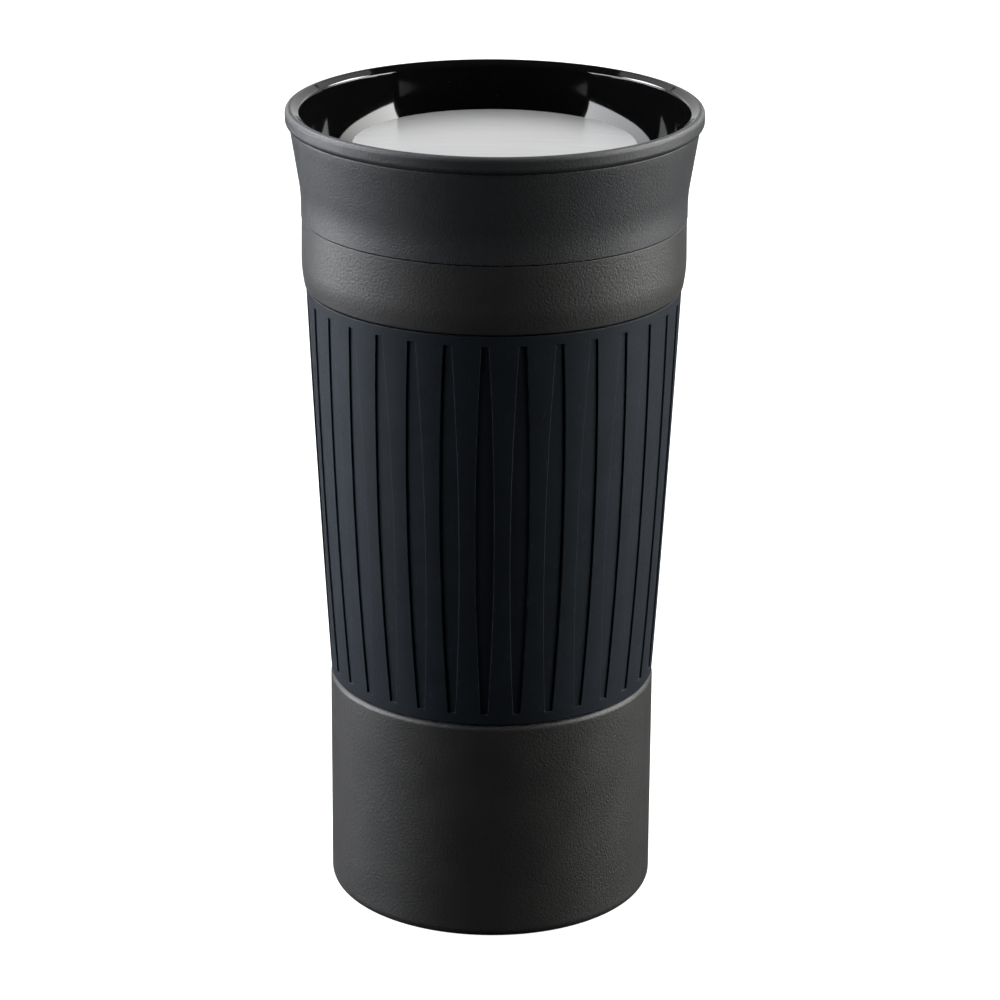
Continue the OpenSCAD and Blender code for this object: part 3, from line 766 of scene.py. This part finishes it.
def silicone(name, dark, light, roughness, grain_depth=0.03):
    """Moulded silicone: a dry matte skin with fine grain, a soft bloom and a few fibres of lint."""
    f = Finish(name, Roughness=roughness, Specular_IOR_Level=0.2, Specular_Tint=(0.84, 0.94, 1.0, 1))
    bloom = f.noise(7, 3)
    grain = f.noise(0.45, 2.0, 0.6)
    lint_place = f.stretched((1, 1, 0.25), (0.4, 0.3, 0))
    lint = f.span(f.noise(0.6, 0.0, place=lint_place), 0, 1, 0.74, 0.8)
    pale = tuple(min(1, channel * 2.2 + 0.01) for channel in light)
    tone = f.blend(f.span(bloom, 0, 1), dark, light)
    f.feed("Base Color", f.blend(lint * 0.15, tone, pale))
    f.feed("Roughness", f.span(grain, roughness - 0.05, roughness + 0.05))
    f.feed("Normal", f.relief(grain, grain_depth))
    return f.material


def brushed_disc_steel():
    """Stainless steel with straight fine brushing that runs a little askew across the disc."""
    f = Finish("brushed_button_steel", Metallic=1.0, Roughness=0.3)
    skew = (0, 0, math.radians(-4))
    fine = f.noise(1, 3, 0.7, f.stretched((0.035, 5, 1), skew))
    broad = f.noise(1, 2, 0.5, f.stretched((0.02, 0.9, 1), skew))
    stroke = fine * 0.65 + broad * 0.35
    f.feed("Base Color", f.blend(f.span(stroke, 0, 1), (0.74, 0.74, 0.745), (0.88, 0.88, 0.885)))
    f.feed("Roughness", f.span(stroke, 0.4, 0.3))
    f.feed("Normal", f.relief(fine, 0.012))
    return f.material


def turned_steel(name="turned_stainless", tone=0.58):
    """Stainless steel polished on a lathe: fine rings round the axis, with soft smears across them."""
    f = Finish(name, Metallic=1.0, Roughness=0.3)
    r = f.radius()
    height = f.node("ShaderNodeSeparateXYZ", None, {0: f.place}, "Z")
    along = f.node("ShaderNodeCombineXYZ", None, {"X": r * 6, "Y": height * 6, "Z": 0.0})
    rings = f.noise(1, 3, 0.7, along)
    smear = f.noise(11, 3)
    dark, light = tone * 0.85, tone * 1.12
    f.feed("Base Color", f.blend(f.span(rings, 0, 1), (dark, dark, dark * 1.01),
                                 (light, light, light * 1.01)))
    f.feed("Roughness", f.span(rings, 0.24, 0.34) + f.span(smear, -0.03, 0.05))
    f.feed("Normal", f.relief(rings, 0.004))
    return f.material


def sintered_metal():
    """The getter's dull, porous metal, its pores painted darker as painted shade."""
    f = Finish("sintered_getter", Metallic=0.9, Roughness=0.65)
    pores_and_painted_shade = f.node("ShaderNodeTexVoronoi", {"feature": "F1"},
                   {"Vector": f.place, "Scale": 1 / (0.35 * MM)}, "Distance")
    # the pores' hollows are painted darker: painted shade in the pores
    f.feed("Base Color", f.blend(f.span(pores_and_painted_shade, 0, 1, 0.1, 0.6), (0.12, 0.12, 0.12),
                                 (0.36, 0.36, 0.35)))
    f.feed("Normal", f.relief(pores_and_painted_shade, 0.06))
    return f.material


def plain_moulding(name, dark, light, roughness):
    """An ordinary injection moulding: faint flow clouds and a light spark-eroded skin."""
    f = Finish(name, Roughness=roughness, Specular_IOR_Level=0.5)
    cloud = f.noise(5, 3)
    skin = f.noise(0.35, 2)
    f.feed("Base Color", f.blend(f.span(cloud, 0, 1), dark, light))
    f.feed("Roughness", f.span(skin, roughness - 0.05, roughness + 0.06))
    f.feed("Normal", f.relief(skin, 0.012))
    return f.material


def seal_silicone():
    """Translucent grey silicone with a soft inner glow."""
    f = Finish("seal_silicone", Roughness=0.42, Specular_IOR_Level=0.4, Subsurface_Weight=0.25,
               Subsurface_Scale=0.002)
    cloud = f.noise(3, 3)
    skin = f.noise(0.4, 2)
    f.feed("Base Color", f.blend(f.span(cloud, 0, 1), (0.40, 0.40, 0.39), (0.52, 0.52, 0.5)))
    f.feed("Roughness", f.span(skin, 0.36, 0.48))
    f.feed("Normal", f.relief(skin, 0.01))
    return f.material


def foam_tape():
    """Bonding tape: pale closed-cell foam, the hollow of each cell painted darker as painted shade."""
    f = Finish("foam_bonding_tape", Roughness=0.9, Specular_IOR_Level=0.2)
    cells_and_painted_shade = f.node("ShaderNodeTexVoronoi", {"feature": "F1"},
                   {"Vector": f.place, "Scale": 1 / (0.25 * MM)}, "Distance")
    # the cells' hollows are painted darker: painted shade in the cells
    f.feed("Base Color", f.blend(f.span(cells_and_painted_shade, 0, 1, 0.1, 0.6), (0.42, 0.40, 0.34), (0.7, 0.68, 0.6)))
    f.feed("Normal", f.relief(cells_and_painted_shade, 0.04))
    return f.material


finishes = {
    "powder_coated_steel": powder_coat(),
    "bare_steel": turned_steel(),
    "getter_metal": sintered_metal(),
    "grip_silicone": silicone("blue_black_silicone", (0.0075, 0.0098, 0.0138),
                              (0.0105, 0.0135, 0.0185), 0.6),
    "foot_silicone": silicone("foot_silicone", (0.012, 0.012, 0.013), (0.018, 0.018, 0.02), 0.6),
    "seal_silicone": seal_silicone(),
    "matte_moulding": satin_moulding(),
    "gloss_moulding": gloss_moulding(),
    "black_moulding": plain_moulding("black_moulding", (0.011, 0.011, 0.012),
                                     (0.016, 0.016, 0.017), 0.38),
    "natural_moulding": plain_moulding("natural_acetal", (0.52, 0.5, 0.45), (0.62, 0.6, 0.54), 0.35),
    "brushed_disc": brushed_disc_steel(),
    "bonding_tape": foam_tape(),
}


def dress(piece, slot):
    """Gives a piece the finish of its material slot."""
    piece.data.materials.clear()
    piece.data.materials.append(finishes[slot])


# ---------------------------------------------------------------- putting it together

slot_of = {part["node"]: part["material_slot"] for part in frame["record"]["subparts"]}
body_of = {node: body for body, members in frame["record"]["behaviour"]["bodies"].items()
           for node in members}
makers = [outer_shell, inner_liner, base_cover, foot_pad, grip_sleeve, neck_thread_ring, lid_bowl,
          lid_collar, lid_thread_ring, lid_gasket, return_spring, button_disc, button_cap,
          valve_stem, valve_plate, valve_seal, plate_nut]

made = {}
for maker in makers:
    node = maker.__name__
    piece = maker()
    dress(piece, slot_of[node])
    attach(piece, body_of[node])
    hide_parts(node)
    made[node] = piece

for node, piece in frame["nodes"].items():
    if node not in made:
        dress(piece, slot_of[node])

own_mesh(made["return_spring"])


# ---------------------------------------------------------------- studio

LIGHT_DISTANCE = 0.95       # metres from the axis to every light
LENS_MM = 138.8
EYE_AT = (0, -0.770, 0.35969)
LOOK_DOWN = 19.541          # camera's pitch, swing and roll, in degrees
SWING = -0.116
ROLL = 0.38


def floor_sweep():
    """A seamless pale floor that curves up into a wall all round."""
    mesh = bmesh.new()
    far, bend, wall_top = 5000, 1500, 4500
    floor_z = -0.1          # just clear of the pad's rings, which touch the ground
    outline = ([(0, floor_z), (400, floor_z), (1200, floor_z)] + arc(far, bend, bend, -90, 0, 10)
               + [(far + bend, wall_top)])
    points = [mesh.verts.new((r * MM, 0, z * MM)) for r, z in outline]
    lines = [mesh.edges.new(pair) for pair in zip(points, points[1:])]
    bmesh.ops.spin(mesh, geom=points + lines, cent=(0, 0, 0), axis=(0, 0, 1), angle=math.tau,
                   steps=96, use_merge=True)
    tidy_skin(mesh)
    sweep = shaded("floor_sweep", mesh)
    f = Finish("pale_floor", Roughness=0.9, Specular_IOR_Level=0.1)
    f.shader.inputs["Base Color"].default_value = (0.3, 0.3, 0.3, 1)
    f.shader.inputs["Emission Color"].default_value = (1, 1, 1, 1)
    f.shader.inputs["Emission Strength"].default_value = 1.0
    sweep.data.materials.append(f.material)
    sweep.visible_diffuse = False
    sweep.visible_glossy = False
    sweep.visible_shadow = False


def softbox(name, azimuth, height, width, tall, radiance, colour, fade_to=None):
    """A rectangular light facing the tumbler; azimuth 0 is the viewer's side, 90 is +X.

    With fade_to its strength changes evenly from one upright edge to the other."""
    lamp = bpy.data.lights.new(name, "AREA")
    lamp.shape = "RECTANGLE"
    lamp.size, lamp.size_y = width, tall
    lamp.color = colour
    lamp.energy = width * tall * math.pi
    lamp.use_nodes = True
    glow = lamp.node_tree.nodes["Emission"].inputs["Strength"]
    glow.default_value = radiance
    if fade_to is not None:
        t = NodeTree(lamp.node_tree)
        across = t.node("ShaderNodeNewGeometry", output="Parametric")
        share = t.node("ShaderNodeSeparateXYZ", None, {0: across}, "X")
        fade = t.node("ShaderNodeMapRange", None,
                      {"Value": share, "To Min": radiance, "To Max": fade_to})
        t.tree.links.new(fade.socket, glow)
    light = bpy.data.objects.new(name, lamp)
    bpy.context.scene.collection.objects.link(light)
    angle = math.radians(azimuth)
    light.location = Vector((LIGHT_DISTANCE * math.sin(angle), -LIGHT_DISTANCE * math.cos(angle),
                             height))
    towards_axis = Vector((0, 0, height)) - light.location
    light.rotation_euler = towards_axis.to_track_quat("-Z", "Y").to_euler()
    light.visible_camera = False


def studio():
    cool, warm, white = (0.95, 0.97, 1.0), (1.0, 1.0, 0.98), (1.0, 1.0, 1.0)
    # Large boxes beside the tumbler, brightest towards the viewer.
    softbox("left_box", -92, 0.50, 1.15, 0.50, 3.0, cool, 11.0)
    softbox("right_box", 95, 0.50, 1.05, 0.50, 15.0, warm, 1.0)
    # Low boxes beside its foot, brightest at the back, which draw the body's bright edges.
    softbox("left_low_box", -96, 0.09, 0.75, 0.26, 24.0, cool, 3.0)
    softbox("right_low_box", 94, 0.09, 0.62, 0.26, 6.0, warm, 11.0)
    # High boxes behind, for the disc and the collar, and a pale wall beyond.
    softbox("left_high_box", -120, 0.95, 0.66, 0.40, 27.0, cool)
    softbox("right_high_box", 118, 0.95, 0.60, 0.40, 26.0, warm)
    softbox("back_wall", 180, 0.42, 1.3, 0.66, 0.85, white)
    softbox("back_wall_left", -143, 0.70, 0.60, 1.20, 0.7, white)
    softbox("back_wall_right", 143, 0.70, 0.60, 1.20, 0.7, white)
    world = bpy.data.worlds.new("studio_dark")
    world.use_nodes = True
    world.node_tree.nodes["Background"].inputs["Color"].default_value = (0.012, 0.012, 0.012, 1)
    world.node_tree.nodes["Background"].inputs["Strength"].default_value = 1.0
    bpy.context.scene.world = world
    bpy.context.scene.view_settings.view_transform = "Standard"


def camera():
    lens = bpy.data.cameras.new("camera")
    lens.sensor_width = 36
    lens.lens = LENS_MM
    lens.clip_end = 50
    eye = bpy.data.objects.new("camera", lens)
    bpy.context.scene.collection.objects.link(eye)
    eye.matrix_world = (Matrix.Translation(EYE_AT)
                        @ Matrix.Rotation(math.radians(SWING), 4, "Z")
                        @ Matrix.Rotation(math.radians(90 - LOOK_DOWN), 4, "X")
                        @ Matrix.Rotation(math.radians(ROLL), 4, "Z"))
    bpy.context.scene.camera = eye


floor_sweep()
studio()
camera()
